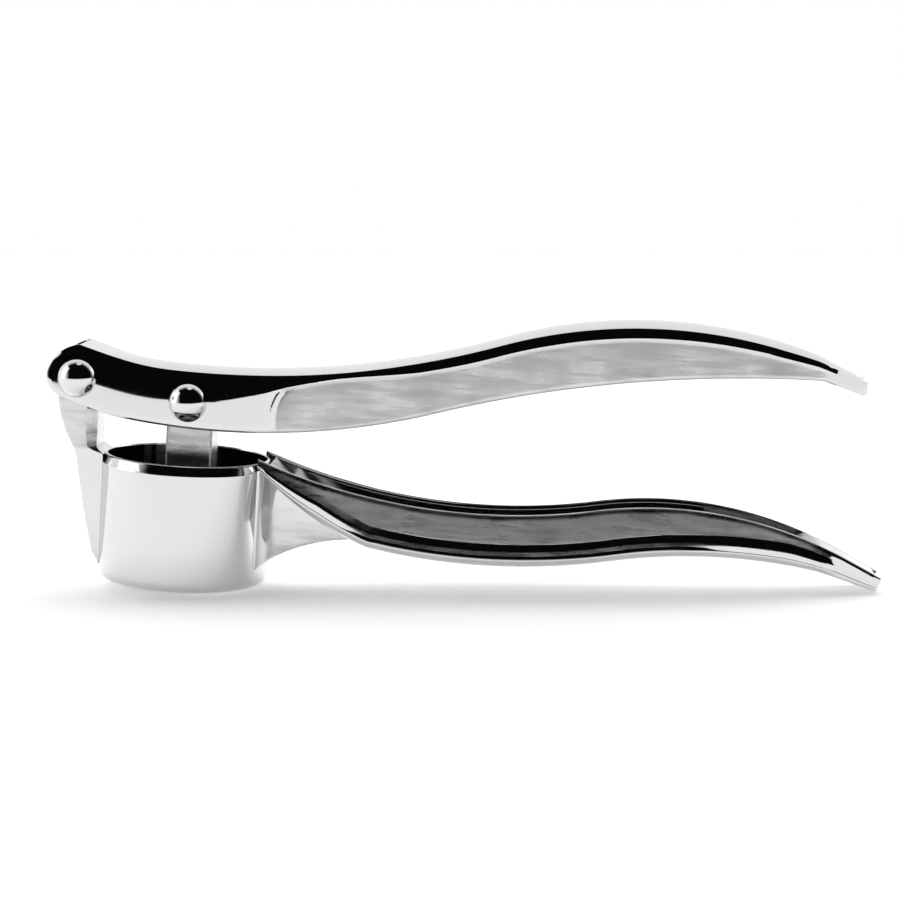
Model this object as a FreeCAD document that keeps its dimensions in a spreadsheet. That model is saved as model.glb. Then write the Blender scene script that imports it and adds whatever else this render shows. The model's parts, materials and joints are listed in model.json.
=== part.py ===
"""Hand-held garlic press: two die-cast channel handles, a cup and a hinged plunger.

Millimetres. +Z is up along the cup's axis, +X runs to the tail of the handles,
and the origin is the centre of the cup's flat underside.
"""
import FreeCAD, Part
import Sketcher
import math
import os

os.makedirs("parts", exist_ok=True)

SIZES = {
    "cup_radius": 15.3,
    "bore_radius": 14.3,
    "cup_height": 22.7,
    "cup_floor": 3.0,
    "foot_round": 1.8,
    "strainer_hole_radius": 0.9,
    "strainer_pitch": 3.1,
    "strainer_reach": 11.6,
    "hinge_along": -19.3,
    "hinge_up": 35.95,
    "pivot_along": 0.6,
    "pivot_up": 32.9,
    "pin_radius": 1.8,
    "pin_fit": 0.05,
    "dome_radius": 3.4,
    "dome_height": 2.3,
    "grip_width": 14.8,
    "tail_width": 8.4,
    "channel_width": 10.6,
    "web": 1.8,
    "bevel": 1.6,
    "panel_depth": 0.8,
    "ear_width": 9.9,
    "ear_radius": 3.3,
    "gusset_width": 8.0,
    "stem_width": 8.4,
    "stem_depth": 8.0,
    "stem_crown": 3.2,
    "stem_chamfer": 0.9,
    "disc_radius": 12.0,
    "disc_height": 3.5,
    "disc_round": 1.0,
    "disc_lift": 0.3,
    "disc_shift": -1.0,
}
THROUGH = 80.0
UP = FreeCAD.Vector(0, 0, 1)

doc = FreeCAD.newDocument("garlic_press")
sheet = doc.addObject("Spreadsheet::Sheet", "sizes")


def fill_sheet():
    """One row for each driving size: its name, its value and an alias of the same name."""
    for row, (name, value) in enumerate(SIZES.items(), start=1):
        sheet.set(f"A{row}", name)
        sheet.set(f"B{row}", str(value))
        sheet.setAlias(f"B{row}", name)
    doc.recompute()


def point(along, up):
    """A point of a sketch by its two axes."""
    return FreeCAD.Vector(along, up, 0)


def line(start, end):
    return Part.LineSegment(start, end)


def chain(points):
    """Straight segments from each point to the next."""
    return [line(a, b) for a, b in zip(points, points[1:])]


def polygon(points):
    return chain(points + points[:1])


class Curve:
    """An S-shaped edge: a hollow arc at the head end that runs smoothly into a crowned arc."""

    def __init__(self, hollow, hollow_radius, crown):
        self.hollow = hollow
        self.hollow_radius = hollow_radius
        self.crown = crown
        apart = crown.distanceToPoint(hollow)
        self.crown_radius = apart - hollow_radius
        self.joint = hollow + (crown - hollow) * (hollow_radius / apart)

    def at(self, along):
        """The point of the edge at a distance along."""
        if along < self.joint.x:
            drop = math.sqrt(self.hollow_radius ** 2 - (along - self.hollow.x) ** 2)
            return point(along, self.hollow.y - drop)
        rise = math.sqrt(self.crown_radius ** 2 - (along - self.crown.x) ** 2)
        return point(along, self.crown.y + rise)

    def moved(self, distance):
        """The parallel edge, moved up by the distance."""
        return Curve(self.hollow, self.hollow_radius - distance, self.crown)

    def arcs(self, start, end):
        """The arcs from one distance along to another, either way round."""
        low, high = sorted((start, end))
        stops = [low] + [self.joint.x] * (low < self.joint.x < high) + [high]
        if start > end:
            stops.reverse()
        return [Part.Arc(self.at(a), self.at((a + b) / 2), self.at(b))
                for a, b in zip(stops, stops[1:])]


UPPER_TOP = Curve(point(4.5, 193.7), 154.7, point(84.2, -35.3))
UPPER_EDGE = Curve(point(6.6, 155.7), 127.5, point(110.9, -178.7))
LOWER_EDGE = Curve(point(52.6, 127.3), 110.9, point(87.6, -51.6))
LOWER_BOTTOM = Curve(point(53.5, 124.9), 117.6, point(96.4, -86.6))
UPPER_TIP = [point(119.9, 44.4), point(119.2, 41.8)]
LOWER_TIP = [point(125.2, 9.5), point(124.2, 7.2)]


def new_body(name):
    body = doc.addObject("PartDesign::Body", name)
    body.Label = name
    return body


def sketch_on(body, role, name, geometry, level="0"):
    """A sketch on the body's own origin plane, at a bound distance off it."""
    sketch = body.newObject("Sketcher::SketchObject", name)
    origin_plane = next(item for item in body.Origin.OriginFeatures if item.Role == role)
    sketch.AttachmentSupport = (origin_plane, [""])
    sketch.MapMode = "FlatFace"
    sketch.setExpression("AttachmentOffset.Base.z", level)
    sketch.addGeometry(geometry, False)
    return sketch


def circle_on(body, role, name, centre, radius, level="0"):
    """A sketched circle whose centre and radius follow the sheet."""
    start = Part.Circle(point(1, 1), UP, 1)
    sketch = sketch_on(body, role, name, [start], level)
    for kind, place, value in (("Radius", (0,), radius),
                               ("DistanceX", (-1, 1, 0, 3), centre[0]),
                               ("DistanceY", (-1, 1, 0, 3), centre[1])):
        number = sketch.addConstraint(Sketcher.Constraint(kind, *place, 1.0))
        sketch.setExpression(f"Constraints[{number}]", value)
    return sketch


def pad(body, sketch, name, length, both_sides=True):
    """Material from the sketch, to the bound length in all."""
    feature = body.newObject("PartDesign::Pad", name)
    feature.Profile = sketch
    feature.Midplane = both_sides
    feature.setExpression("Length", length)
    doc.recompute()
    return feature


def pocket(body, sketch, name, length, both_sides=True, reverse=False):
    """A cut from the sketch that must take something away."""
    before = body.Shape.Volume
    feature = body.newObject("PartDesign::Pocket", name)
    feature.Profile = sketch
    feature.Midplane = both_sides
    feature.Reversed = reverse
    feature.setExpression("Length", length)
    doc.recompute()
    assert body.Shape.Volume < before - 0.01, f"{name} cuts nothing"
    return feature


def dress(body, kind, name, size_property, size, chosen):
    """A fillet or chamfer along the edges of the tip that the test picks."""
    base = body.Tip
    edges = [f"Edge{i}" for i, edge in enumerate(base.Shape.Edges, start=1) if chosen(edge)]
    assert edges, f"{name} finds no edge"
    feature = body.newObject(f"PartDesign::{kind}", name)
    feature.Base = (base, edges)
    feature.setExpression(size_property, size)
    doc.recompute()
    return feature


def follows(curve, low, high):
    """A test for the long outer edges of a handle that lie on a curve."""
    def chosen(edge):
        box = edge.BoundBox
        middle = edge.valueAt((edge.FirstParameter + edge.LastParameter) / 2)
        ends = [vertex.Point for vertex in edge.Vertexes]
        inside = box.XMin > low and box.XMax < high and box.XLength > 1
        return inside and all(abs(curve.at(p.x).y - p.z) < 0.02 for p in ends + [middle])
    return chosen


def plan_sides(head_end, tail_start, tail_end):
    """Seen from above, a handle has straight sides that bend in smoothly towards the tail."""
    grip = SIZES["grip_width"] / 2
    narrowing = (SIZES["grip_width"] - SIZES["tail_width"]) / 2
    run = tail_end - tail_start
    bend_radius = (run ** 2 + narrowing ** 2) / (2 * narrowing)

    def edge(along):
        return grip - bend_radius + math.sqrt(bend_radius ** 2 - (along - tail_start) ** 2)

    middle = (tail_start + tail_end) / 2
    pieces = [line(point(head_end, -grip), point(head_end, grip))]
    for side in (1, -1):
        corner = point(tail_start, side * grip)
        pieces.append(line(point(head_end, side * grip), corner))
        pieces.append(Part.Arc(corner, point(middle, side * edge(middle)),
                               point(tail_end, side * edge(tail_end))))
    end = edge(tail_end)
    pieces.append(line(point(tail_end, -end), point(tail_end, end)))
    return pieces


def trim_to_plan(body, head_end, tail_end):
    """Cuts the handle's sides to its outline seen from above."""
    reach = SIZES["grip_width"]
    frame = polygon([point(head_end - 9, -reach), point(tail_end + 9, -reach),
                     point(tail_end + 9, reach), point(head_end - 9, reach)])
    outline = plan_sides(head_end - 3, 80, tail_end)
    sketch = sketch_on(body, "XY_Plane", body.Name + "_plan", frame + outline)
    pocket(body, sketch, body.Name + "_trim", f"{2 * THROUGH}")


def cut_panels(body, outline):
    """The shallow panel in each side of a handle."""
    for side, sign in (("near", 1), ("far", -1)):
        name = f"{body.Name}_{side}_panel"
        level = f"{sign} * (sizes.grip_width / 2 - sizes.panel_depth)"
        sketch = sketch_on(body, "XZ_Plane", name, outline, level)
        pocket(body, sketch, name + "_cut", "sizes.grip_width", False, sign > 0)


def cut_pin_hole(body, name, along, up, radius):
    """A round hole across a piece for a rivet."""
    sketch = circle_on(body, "XZ_Plane", name, (f"sizes.{along}", f"sizes.{up}"), radius)
    pocket(body, sketch, name + "_cut", f"{THROUGH}")


def upper_outline():
    """Side view: the rounded head, the crowned top, the square tip and the lower edge."""
    head_top = UPPER_TOP.at(-10)
    head_crest = point(-19.4, 41.8)
    head_back = point(-24.8, 36.6)
    head_heel = point(-22.3, 32.6)
    edge_start = UPPER_EDGE.at(-13.1)
    top_end = UPPER_TOP.at(111)
    edge_end = UPPER_EDGE.at(112)
    return (UPPER_TOP.arcs(head_top.x, top_end.x)
            + chain([top_end] + UPPER_TIP + [edge_end])
            + UPPER_EDGE.arcs(edge_end.x, edge_start.x)
            + [line(edge_start, head_heel),
               Part.Arc(head_heel, point(-24.3, 34.2), head_back),
               Part.Arc(head_back, point(-23.2, 39.9), head_crest),
               line(head_crest, head_top)])


def upper_channel():
    """Side view of the hollow: open below, and open at the back of the head over the ear."""
    ceiling = UPPER_TOP.moved(-SIZES["web"])
    start = ceiling.at(-10)
    end = ceiling.at(104)
    back = SIZES["hinge_along"] - 0.6
    return (ceiling.arcs(start.x, end.x)
            + chain([end, point(109, 42), point(109, 10), point(-40, 10), point(-40, 60),
                     point(back, 60), point(back, 40.3), start]))


def upper_panel():
    """Side view of the panel: a swept front end, a top just under the bevel, open below."""
    top = UPPER_TOP.moved(-2.9)
    start = top.at(21.5)
    end = top.at(109)
    foot = point(15.9, 27)
    return (top.arcs(start.x, end.x)
            + chain([end, point(112, 43), point(112, 10), point(foot.x, 10), foot])
            + [Part.Arc(foot, point(16.9, 34.2), start)])


def make_upper_handle():
    body = new_body("upper_handle")
    outline = sketch_on(body, "XZ_Plane", "upper_side", upper_outline())
    pad(body, outline, "upper_blank", "sizes.grip_width")
    trim_to_plan(body, -25, 120)
    dress(body, "Chamfer", "upper_bevel", "Size", "sizes.bevel", follows(UPPER_TOP, -11, 112))
    channel = sketch_on(body, "XZ_Plane", "upper_hollow", upper_channel())
    pocket(body, channel, "upper_hollow_cut", "sizes.channel_width")
    cut_panels(body, upper_panel())
    cut_pin_hole(body, "hinge_hole", "hinge_along", "hinge_up", "sizes.pin_radius")
    cut_pin_hole(body, "pivot_hole", "pivot_along", "pivot_up", "sizes.pin_radius")
    return body


def lower_outline():
    """Side view: the edge from the cup's rim to the square tip, and back along the bottom."""
    edge_start = LOWER_EDGE.at(12.5)
    edge_end = LOWER_EDGE.at(118)
    bottom_end = LOWER_BOTTOM.at(116)
    bottom_start = LOWER_BOTTOM.at(34)
    root = point(13.5, 22)
    return (LOWER_EDGE.arcs(edge_start.x, edge_end.x)
            + chain([edge_end] + LOWER_TIP + [bottom_end])
            + LOWER_BOTTOM.arcs(bottom_end.x, bottom_start.x)
            + [Part.Arc(bottom_start, point(22.6, 14.5), root), line(root, edge_start)])


def lower_channel():
    """Side view of the hollow: open above, its floor rising to the cup's rim."""
    floor = LOWER_BOTTOM.moved(SIZES["web"])
    start = floor.at(36)
    end = floor.at(108)
    rim = point(17.6, 22)
    return (floor.arcs(start.x, end.x)
            + chain([end, point(113, 14), point(113, 50), point(rim.x, 50), rim])
            + [Part.Arc(rim, point(25, 15.3), start)])


def lower_panel():
    """Side view of the panel: a bottom above the two beads, open at the top edge."""
    bottom = LOWER_BOTTOM.moved(4.0)
    start = bottom.at(38)
    end = bottom.at(104)
    rim = point(19.6, 22.3)
    return (bottom.arcs(start.x, end.x)
            + chain([end, point(112, 14.6), point(112, 50), point(rim.x, 50), rim])
            + [Part.Arc(rim, point(26, 16.4), start)])


def ear_outline():
    """Side view of the hinge ear, tapering down the back of the cup as a rib."""
    left = point(SIZES["hinge_along"] - SIZES["ear_radius"], SIZES["hinge_up"])
    right = point(SIZES["hinge_along"] + SIZES["ear_radius"], SIZES["hinge_up"])
    crest = point(SIZES["hinge_along"], SIZES["hinge_up"] + SIZES["ear_radius"])
    back = [left, point(-23.2, 31.9), point(-21.6, 26), point(-19.6, 22.6), point(-17.8, 12.5),
            point(-15.9, 4.6), point(-14.4, 2.4), point(-13, 2.4), point(-13, 22),
            point(-15.7, 22), right]
    return chain(back) + [Part.Arc(right, crest, left)]


def gusset_outline():
    """Side view of the thin web between the cup and the handle's rising bottom."""
    foot = point(13.5, 3.2)
    handle = point(34, 9.8)
    return (chain([handle, point(34, 11), point(20, 19), point(13.5, 21), foot])
            + [Part.Arc(foot, point(22, 8), handle)])


def strainer_centres():
    """A triangular grid of holes inside the floor, with solid metal at the very centre."""
    pitch = SIZES["strainer_pitch"]
    reach = range(-7, 8)
    grid = [point((i + (j + 1) / 2) * pitch, j * pitch * math.sqrt(3) / 2)
            for i in reach for j in reach]
    return [centre for centre in grid if centre.Length < SIZES["strainer_reach"]]


def strainer_sketch(body):
    """The first hole's radius follows the sheet and the others equal it."""
    holes = [Part.Circle(centre, UP, SIZES["strainer_hole_radius"])
             for centre in strainer_centres()]
    sketch = sketch_on(body, "XY_Plane", "strainer", holes)
    first = sketch.addConstraint(Sketcher.Constraint("Radius", 0, holes[0].Radius))
    sketch.setExpression(f"Constraints[{first}]", "sizes.strainer_hole_radius")
    for other in range(1, len(holes)):
        sketch.addConstraint(Sketcher.Constraint("Equal", 0, other))
    return sketch


def rim_circle(height):
    """A test for the cup's round edge at a height."""
    def chosen(edge):
        box = edge.BoundBox
        round_edge = isinstance(edge.Curve, Part.Circle) and edge.Curve.Radius > 13
        return round_edge and box.ZLength < 0.01 and abs(box.ZMin - height) < 0.01
    return chosen


def make_lower_handle():
    body = new_body("lower_handle")
    outline = sketch_on(body, "XZ_Plane", "lower_side", lower_outline())
    pad(body, outline, "lower_blank", "sizes.grip_width")
    trim_to_plan(body, 10, 125.5)
    bottom = follows(LOWER_BOTTOM, 33, 117)
    dress(body, "Chamfer", "lower_bevel", "Size", "sizes.bevel", bottom)
    channel = sketch_on(body, "XZ_Plane", "lower_hollow", lower_channel())
    pocket(body, channel, "lower_hollow_cut", "sizes.channel_width")
    cut_panels(body, lower_panel())
    cup = circle_on(body, "XY_Plane", "cup", ("0", "0"), "sizes.cup_radius")
    pad(body, cup, "cup_wall", "sizes.cup_height", False)
    dress(body, "Fillet", "cup_foot", "Radius", "sizes.foot_round", rim_circle(0))
    ear = sketch_on(body, "XZ_Plane", "ear", ear_outline())
    pad(body, ear, "ear_rib", "sizes.ear_width")
    gusset = sketch_on(body, "XZ_Plane", "gusset", gusset_outline())
    pad(body, gusset, "gusset_web", "sizes.gusset_width")
    bore = circle_on(body, "XY_Plane", "bore", ("0", "0"), "sizes.bore_radius", "sizes.cup_floor")
    pocket(body, bore, "bore_cut", "sizes.cup_height", False, True)
    pocket(body, strainer_sketch(body), "strainer_cut", f"{THROUGH}")
    cut_pin_hole(body, "ear_hole", "hinge_along", "hinge_up", "sizes.pin_radius + sizes.pin_fit")
    return body


def stem_outline():
    """Side view of the stem: a round top over the rivet and a straight shank to the disc."""
    along = SIZES["pivot_along"]
    up = SIZES["pivot_up"]
    half = SIZES["stem_width"] / 2
    crown = SIZES["stem_crown"]
    shoulder = up - 1.2
    foot = SIZES["cup_floor"] + SIZES["disc_lift"] + 1
    left = [point(along - crown, up), point(along - half, shoulder), point(along - half, foot)]
    right = [point(along + half, foot), point(along + half, shoulder), point(along + crown, up)]
    return chain(left + right) + [Part.Arc(right[-1], point(along, up + crown), left[0])]


def make_plunger():
    body = new_body("plunger")
    level = "sizes.cup_floor + sizes.disc_lift"
    disc = circle_on(body, "XY_Plane", "disc", ("sizes.pivot_along + sizes.disc_shift", "0"),
                     "sizes.disc_radius", level)
    pad(body, disc, "disc_blank", "sizes.disc_height", False)
    dress(body, "Fillet", "disc_rounds", "Radius", "sizes.disc_round",
          lambda edge: isinstance(edge.Curve, Part.Circle))
    stem = sketch_on(body, "XZ_Plane", "stem", stem_outline())
    pad(body, stem, "stem_blank", "sizes.stem_depth")
    upright = SIZES["pivot_up"] - 8
    dress(body, "Chamfer", "stem_corners", "Size", "sizes.stem_chamfer",
          lambda edge: edge.BoundBox.ZLength > 15 and edge.BoundBox.ZMin < upright)
    cut_pin_hole(body, "stem_hole", "pivot_along", "pivot_up", "sizes.pin_radius + sizes.pin_fit")
    return body


def rivet_profile():
    """Half the rivet along its own axis: a shank between two heads that are parts of spheres."""
    shank = SIZES["pin_radius"]
    seat = SIZES["grip_width"] / 2
    rim = SIZES["dome_radius"]
    rise = SIZES["dome_height"]
    ball = (rim ** 2 + rise ** 2) / (2 * rise)
    half_angle = math.asin(rim / ball) / 2
    middle = point(ball * math.sin(half_angle), seat + rise - ball * (1 - math.cos(half_angle)))
    crown = point(0, seat + rise)
    lower = [point(rim, -seat), point(shank, -seat), point(shank, seat), point(rim, seat)]
    return (chain(lower)
            + [Part.Arc(lower[-1], middle, crown),
               line(crown, -crown),
               Part.Arc(-crown, point(middle.x, -middle.y), lower[0])])


def make_rivet(name, along, up):
    body = new_body(name)
    sketch = sketch_on(body, "XY_Plane", name + "_profile", rivet_profile(), f"sizes.{up}")
    sketch.setExpression("AttachmentOffset.Base.x", f"sizes.{along}")
    turned = body.newObject("PartDesign::Revolution", name + "_turned")
    turned.Profile = sketch
    turned.ReferenceAxis = (sketch, ["V_Axis"])
    turned.Angle = 360
    doc.recompute()
    return body


def check(pieces):
    """Stops before anything is written if any object failed or any solid is bad."""
    for item in doc.Objects:
        assert not {"Invalid", "Error"} & set(item.State), f"{item.Name}: {item.State}"
    for piece in pieces:
        shape = piece.Shape
        assert not shape.isNull() and shape.isValid(), f"{piece.Label} is not a valid shape"
        assert len(shape.Solids) == 1, f"{piece.Label} has {len(shape.Solids)} solids"


fill_sheet()
pieces = [
    make_lower_handle(),
    make_upper_handle(),
    make_plunger(),
    make_rivet("hinge_rivet", "hinge_along", "hinge_up"),
    make_rivet("plunger_rivet", "pivot_along", "pivot_up"),
]
for piece in pieces:
    piece.Placement = FreeCAD.Placement()
doc.recompute()
check(pieces)
for piece in pieces:
    piece.Shape.exportStep(f"parts/{piece.Label}.step")
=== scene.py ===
"""Garlic press: bright plated castings with smooth lever handles, on a pale floor in soft light."""
import json
import math

import bmesh
import bpy
from mathutils import Matrix, Vector


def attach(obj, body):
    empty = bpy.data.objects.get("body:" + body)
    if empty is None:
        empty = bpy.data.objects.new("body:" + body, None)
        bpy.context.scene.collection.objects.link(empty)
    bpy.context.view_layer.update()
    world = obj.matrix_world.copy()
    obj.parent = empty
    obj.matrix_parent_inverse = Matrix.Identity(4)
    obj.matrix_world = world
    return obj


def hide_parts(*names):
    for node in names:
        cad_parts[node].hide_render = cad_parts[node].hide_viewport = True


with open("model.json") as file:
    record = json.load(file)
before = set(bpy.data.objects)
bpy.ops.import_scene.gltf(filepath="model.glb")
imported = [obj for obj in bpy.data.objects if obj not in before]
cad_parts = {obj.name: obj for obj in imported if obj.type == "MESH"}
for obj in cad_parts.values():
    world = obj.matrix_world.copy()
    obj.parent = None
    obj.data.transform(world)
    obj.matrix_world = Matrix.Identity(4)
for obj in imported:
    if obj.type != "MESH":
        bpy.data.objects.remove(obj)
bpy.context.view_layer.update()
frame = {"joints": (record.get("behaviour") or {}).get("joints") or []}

# ---------------------------------------------------------------- sizes, in millimetres
MM = 0.001
CUP_RADIUS = 15.3
BORE_RADIUS = 14.3
CUP_HEIGHT = 22.7
CUP_FLOOR = 3.0
HINGE, PIVOT = [(joint["pos_m"][0] / MM, joint["pos_m"][2] / MM) for joint in frame["joints"]]
HALF_WIDTH = 7.4
HALF_TAIL = 4.2
WALL_INSIDE = 5.3
WALL_LEAST = 0.3
NARROWING_FROM = 80.0
UPPER_TAIL = 120.0
LOWER_TAIL = 125.5
DOME_RADIUS = 3.4
DOME_RISE = 2.2


def smooth(low, high, value):
    """0 below low, 1 above high, and an easy S between."""
    share = min(max((value - low) / (high - low), 0.0), 1.0)
    return share * share * (3 - 2 * share)


def mix(a, b, share):
    """The value a share of the way from a to b."""
    return a + (b - a) * share


class Edge:
    """An S-shaped edge: a hollow arc at the head end that runs into a crowned arc."""

    def __init__(self, hollow, hollow_radius, crown):
        self.hollow = hollow
        self.hollow_radius = hollow_radius
        self.crown = crown
        apart = math.hypot(crown[0] - hollow[0], crown[1] - hollow[1])
        self.crown_radius = apart - hollow_radius
        self.joint = hollow[0] + (crown[0] - hollow[0]) * hollow_radius / apart

    def __call__(self, x):
        """Height of the edge over x."""
        if x < self.joint:
            return self.hollow[1] - math.sqrt(self.hollow_radius ** 2 - (x - self.hollow[0]) ** 2)
        return self.crown[1] + math.sqrt(self.crown_radius ** 2 - (x - self.crown[0]) ** 2)


UPPER_TOP = Edge((4.5, 193.7), 154.7, (84.2, -35.3))
UPPER_EDGE = Edge((6.6, 155.7), 127.5, (110.9, -178.7))
LOWER_EDGE = Edge((52.6, 127.3), 110.9, (87.6, -51.6))
LOWER_BOTTOM = Edge((53.5, 124.9), 117.6, (96.4, -86.6))


def half_width(x, tail_end):
    """Half the handle's width over x: straight, then bending in to the tail."""
    if x < NARROWING_FROM:
        return HALF_WIDTH
    run = tail_end - NARROWING_FROM
    narrowing = HALF_WIDTH - HALF_TAIL
    bend = (run ** 2 + narrowing ** 2) / (2 * narrowing)
    along = min(x, tail_end) - NARROWING_FROM
    return HALF_WIDTH - bend + math.sqrt(bend ** 2 - along ** 2)


# ---------------------------------------------------------------- mesh helpers
DOUBLES_WITHIN = 0.004 * MM
CORNER_FROM = math.radians(28)


def new_piece(name, parts, material, body, nodes):
    """One object from several closed shells, each a list of points in mm and its faces."""
    verts = []
    faces = []
    for points, sides in parts:
        start = len(verts)
        verts += [Vector(p) * MM for p in points]
        faces += [[start + i for i in side] for side in sides]
    mesh = bpy.data.meshes.new(name)
    mesh.from_pydata(verts, [], faces)
    finish_mesh(mesh)
    piece = bpy.data.objects.new(name, mesh)
    bpy.context.scene.collection.objects.link(piece)
    dress_piece(piece, material, body, nodes)
    return piece


def finish_mesh(mesh):
    """Joins doubles, turns faces outwards and shades smoothly except at real corners."""
    shell = bmesh.new()
    shell.from_mesh(mesh)
    bmesh.ops.remove_doubles(shell, verts=shell.verts, dist=DOUBLES_WITHIN)
    bmesh.ops.dissolve_degenerate(shell, edges=shell.edges, dist=0.001 * MM)
    bmesh.ops.recalc_face_normals(shell, faces=shell.faces)
    for face in shell.faces:
        face.smooth = True
    for edge in shell.edges:
        edge.smooth = len(edge.link_faces) == 2 and edge.calc_face_angle(0) < CORNER_FROM
    shell.to_mesh(mesh)
    shell.free()
    mesh.update()


def dress_piece(piece, material, body, nodes):
    """Gives a piece its material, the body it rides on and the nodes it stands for."""
    piece.data.materials.clear()
    piece.data.materials.append(material)
    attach(piece, body)
    if nodes:
        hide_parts(*nodes)


def loft(rings, closed_ends=True):
    """A closed shell through rings of equally many points."""
    points = [p for ring in rings for p in ring]
    count = len(rings[0])
    faces = []
    for row in range(len(rings) - 1):
        for i in range(count):
            j = (i + 1) % count
            faces.append([row * count + i, row * count + j,
                          (row + 1) * count + j, (row + 1) * count + i])
    if closed_ends:
        faces.append(list(range(count)))
        faces.append([(len(rings) - 1) * count + i for i in reversed(range(count))])
    return points, faces


def turned(profile, centre, steps=160):
    """Rings about the vertical through the centre, one for each (radius, height) point."""
    rings = []
    for r, z in profile:
        ring = []
        for i in range(steps):
            angle = 2 * math.pi * i / steps
            ring.append((centre[0] + r * math.cos(angle), centre[1] + r * math.sin(angle), z))
        rings.append(ring)
    return rings


def grow(outline, distance):
    """The outline, clockwise as seen from the front, moved outwards along its own normals."""
    moved = []
    count = len(outline)
    for i in range(count):
        before, here, after = (Vector(outline[k % count]) for k in (i - 1, i, i + 1))
        way_in = (here - before).normalized()
        way_out = (after - here).normalized()
        side = Vector((-way_in.y - way_out.y, way_in.x + way_out.x)).normalized()
        stretch = max(0.4, side.dot(Vector((-way_out.y, way_out.x))))
        moved.append(here + side * distance / stretch)
    return moved


def slab(outline, half, bevel):
    """A plate of an (x, z) outline across the middle plane, with its long edges rounded."""
    rows = [(-half, 1.25 * bevel), (-half, bevel), (-half + 0.13 * bevel, 0.5 * bevel),
            (-half + 0.5 * bevel, 0.13 * bevel), (-half + bevel, 0), (-half + 1.25 * bevel, 0)]
    rows += [(-y, inset) for y, inset in reversed(rows)]
    rings = []
    for y, inset in rows:
        rings.append([(p[0], y, p[1]) for p in grow(outline, -inset)])
    return loft(rings)


def arc(start, middle, end, steps):
    """Points along the circle through three (x, z) points."""
    ax, ay, bx, by, cx, cy = *start, *middle, *end
    d = 2 * (ax * (by - cy) + bx * (cy - ay) + cx * (ay - by))
    ux = ((ax ** 2 + ay ** 2) * (by - cy) + (bx ** 2 + by ** 2) * (cy - ay)
          + (cx ** 2 + cy ** 2) * (ay - by)) / d
    uy = ((ax ** 2 + ay ** 2) * (cx - bx) + (bx ** 2 + by ** 2) * (ax - cx)
          + (cx ** 2 + cy ** 2) * (bx - ax)) / d
    radius = math.hypot(ax - ux, ay - uy)
    turns = [math.atan2(p[1] - uy, p[0] - ux) for p in (start, middle, end)]
    full = 2 * math.pi
    sweep = (turns[2] - turns[0]) % full
    if (turns[1] - turns[0]) % full > sweep:
        sweep -= full
    points = []
    for i in range(steps + 1):
        angle = turns[0] + sweep * i / steps
        points.append((ux + radius * math.cos(angle), uy + radius * math.sin(angle)))
    return points


def between(a, b, steps):
    """Points from a to b along a straight line, both ends included."""
    return [(mix(a[0], b[0], i / steps), mix(a[1], b[1], i / steps)) for i in range(steps + 1)]


def wall(stations, top, bottom, core, head_fan, tail_fan, rows, outside, inside, side):
    """One side wall of a handle as a closed shell, on the near side for -1 and the far side for 1.

    A column of points runs from each point of the wall's rim to the core line inside it, down the
    outer face and back up the inner one. The columns follow the top edge to the head, turn round
    the head's end, follow the bottom edge to the tail and turn round the square tip.
    """
    columns = []
    for x in reversed(stations):
        columns.append(((x, top(x)), (x, core(x)), 0.0))
    for i, p in enumerate(head_fan):
        columns.append((p, (stations[0], core(stations[0])), (i + 1) / (len(head_fan) + 1)))
    for x in stations:
        columns.append(((x, bottom(x)), (x, core(x)), 1.0))
    for i, p in enumerate(tail_fan):
        columns.append((p, (stations[-1], core(stations[-1])), 1 - (i + 1) / (len(tail_fan) + 1)))
    rings = []
    for rim, middle, lowness in columns:
        x_core = middle[0]
        height = top(x_core) - bottom(x_core)
        upper_share = top(x_core) - core(x_core)
        lower_share = height - upper_share
        outer_points = []
        inner_points = []
        for share in rows(x_core, lowness):
            x = mix(rim[0], middle[0], share)
            z = mix(rim[1], middle[1], share)
            as_top = outside(x, share * upper_share, height - share * upper_share)
            as_bottom = outside(x, height - share * lower_share, share * lower_share)
            y = mix(as_top, as_bottom, smooth(0, 1, lowness))
            to_edge = share * mix(upper_share, lower_share, smooth(0, 1, lowness))
            outer_points.append((x, side * y, z))
            inner_points.append((x, side * min(inside(to_edge, lowness), y - WALL_LEAST), z))
        rings.append(list(reversed(outer_points)) + inner_points)
    points = [p for ring in rings for p in ring]
    count = len(rings[0])
    faces = []
    for row in range(len(rings)):
        after = (row + 1) % len(rings)
        for i in range(count - 1):
            faces.append([row * count + i, row * count + i + 1,
                          after * count + i + 1, after * count + i])
    return points, faces


# ---------------------------------------------------------------- upper handle
UPPER_TIP = ((119.9, 44.4), (119.2, 41.8))
UPPER_END = 118.6
UPPER_TAB_TOP = 111
UPPER_TAB_BOTTOM = 112
HEAD_TOP = (-19.4, 41.8)
HEAD_BACK = (-24.8, 36.6)
HEAD_HEEL = (-22.3, 32.6)
HEEL_FRONT = -13.1
HEAD_CROWN = arc(HEAD_TOP, (-23.2, 39.9), HEAD_BACK, 24)
# Height of the upper bevel at stations along the handle.
BEVEL_HEIGHT = [(-30, 5.5), (-10, 5.0), (-3, 4.8), (5, 4.5), (10, 3.5), (14, 2.8), (18, 1.9),
                (22, 1.3), (27, 0.92), (31, 0.95), (35, 1.15), (41, 1.55), (50, 1.7), (64, 1.76),
                (86, 1.6), (98, 1.4), (108, 1.05), (113, 0.8), (130, 0.8)]
# The sunk panel: the centre and radii of its rounded front corner, and the depth of the face at
# distances inside its outline, with a raised line and a groove before the panel's own depth.
PANEL_CORNER = (20.5, 2.55)
PANEL_ROUND = (4.5, 6.2)
PANEL_FRONT = [(-2, 0), (-1.0, 0.1), (-0.85, 0.08), (-0.7, 0.02), (-0.55, 0), (-0.4, 0.03),
               (-0.25, 0.11), (-0.1, 0.21), (0.05, 0.27), (0.2, 0.28), (0.4, 0.24), (0.8, 0.2)]


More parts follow.
